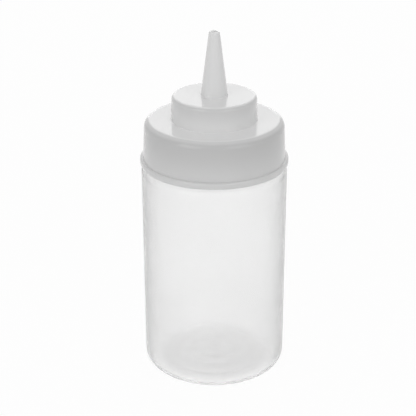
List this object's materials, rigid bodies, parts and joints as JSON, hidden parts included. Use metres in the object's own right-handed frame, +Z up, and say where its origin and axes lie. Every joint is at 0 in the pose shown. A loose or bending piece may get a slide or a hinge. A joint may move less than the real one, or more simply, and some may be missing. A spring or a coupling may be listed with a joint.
{
  "type": "squeeze sauce bottle",
  "caption": "Soft round squeeze bottle for sauce, with a wide threaded neck, a stepped screw cap and an open tapered cone nozzle.",
  "frame": {"origin": "centre of the base, on the surface that the bottle stands on", "axes": "+Z up along the bottle's axis towards the nozzle's tip; the body is round, so X and Y are free"},
  "size_m": [0.0712, 0.0712, 0.1705],
  "materials": {
    "bottle": "blow-moulded soft polyethylene, natural and see-through milky, glossy",
    "cap": "injection-moulded polyethylene, milky white, glossy",
    "seal": "soft flat liner, off-white, matt"
  },
  "bodies": {
    "bottle": {"bottle": "bottle"},
    "seal_ring": {"seal_ring": "seal"},
    "screw_cap": {"screw_cap": "cap"}
  },
  "joints": [
    {"name": "cap_rise", "type": "slide", "parent": "bottle", "child": "seal_ring", "axis": [0, 0, 1], "range_m": [0, 0.02117]},
    {"name": "cap_turn", "type": "hinge", "parent": "seal_ring", "child": "screw_cap", "pos_m": [0, 0, 0.1255], "axis": [0, 0, 1], "range_deg": [0, 1800]}
  ],
  "couplings": [
    {"joint": "cap_rise", "follows": "cap_turn", "m_per_rad": 0.00067375}
  ]
}
